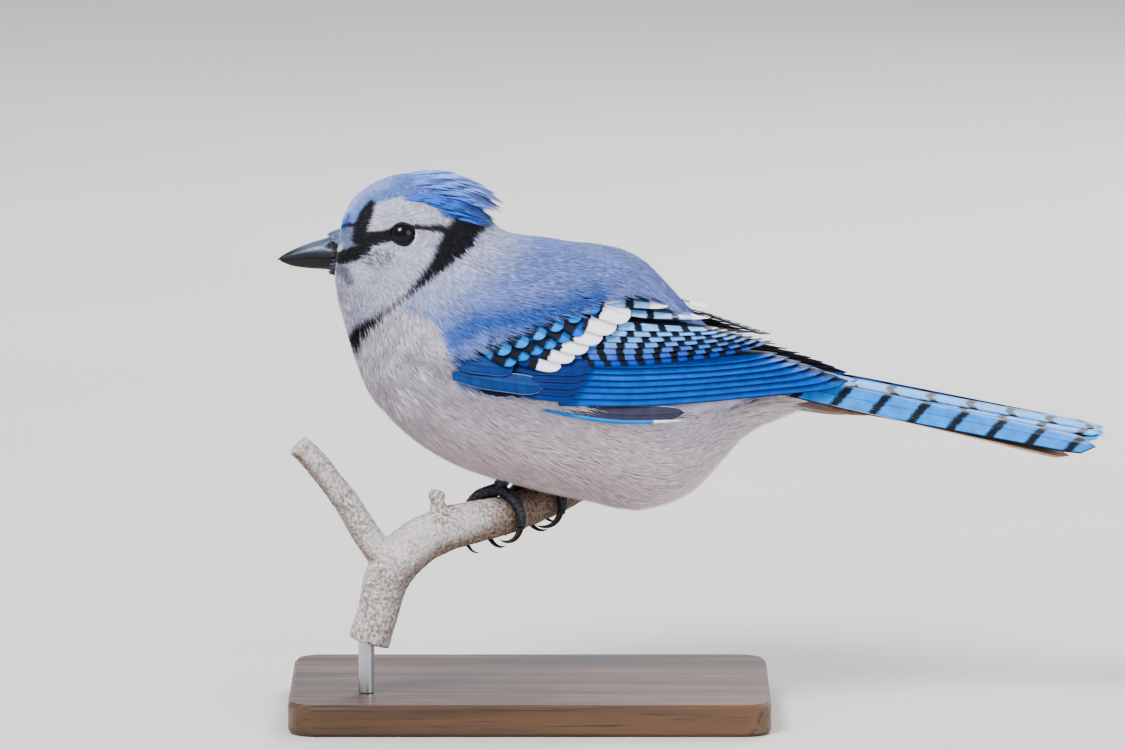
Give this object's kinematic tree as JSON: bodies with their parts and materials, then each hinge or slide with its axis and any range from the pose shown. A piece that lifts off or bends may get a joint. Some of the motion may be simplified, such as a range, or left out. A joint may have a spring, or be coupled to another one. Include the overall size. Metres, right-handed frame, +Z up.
{
  "type": "blue jay display model",
  "caption": "Life-size model of a blue jay at rest, gripping a short cut length of forked branch that a rod holds over a flat display base.",
  "frame": {"origin": "centre of the display base's underside", "axes": "+Z up, -X the way the bird faces, -Y the bird's left side"},
  "size_m": [0.259, 0.096, 0.1713],
  "materials": {
    "head_plumage": "soft matte contour feathers, white face with a black necklace and a lavender blue crown",
    "body_plumage": "soft matte contour feathers, pale grey white below and lavender blue on the back",
    "wing_feathers": "satin bright blue vanes with black bars and white tips",
    "tail_feathers": "satin cyan blue vanes with dark slanted bars and white outer tips",
    "bill": "smooth black horn with a blue grey sheen",
    "eye": "wet, near black brown",
    "foot": "dark scaly skin",
    "claw": "smooth black brown horn",
    "bark": "pale grey brown bark with small specks",
    "stand_wood": "dark satin varnish",
    "stand_metal": "brushed"
  },
  "bodies": {
    "root": {"head": "head_plumage", "neck": "body_plumage", "torso": "body_plumage", "tail": "tail_feathers", "wing_left": "wing_feathers", "wing_right": "wing_feathers", "bill_upper": "bill", "bill_lower": "bill", "eye_left": "eye", "eye_right": "eye", "leg_left": "foot", "leg_right": "foot", "foot_left": "foot", "foot_right": "foot", "claw_left_1": "claw", "claw_left_2": "claw", "claw_left_3": "claw", "claw_left_4": "claw", "claw_right_1": "claw", "claw_right_2": "claw", "claw_right_3": "claw", "claw_right_4": "claw", "perch": "bark", "perch_side_branch": "bark", "stand_base": "stand_wood", "stand_rod": "stand_metal"}
  },
  "joints": []
}
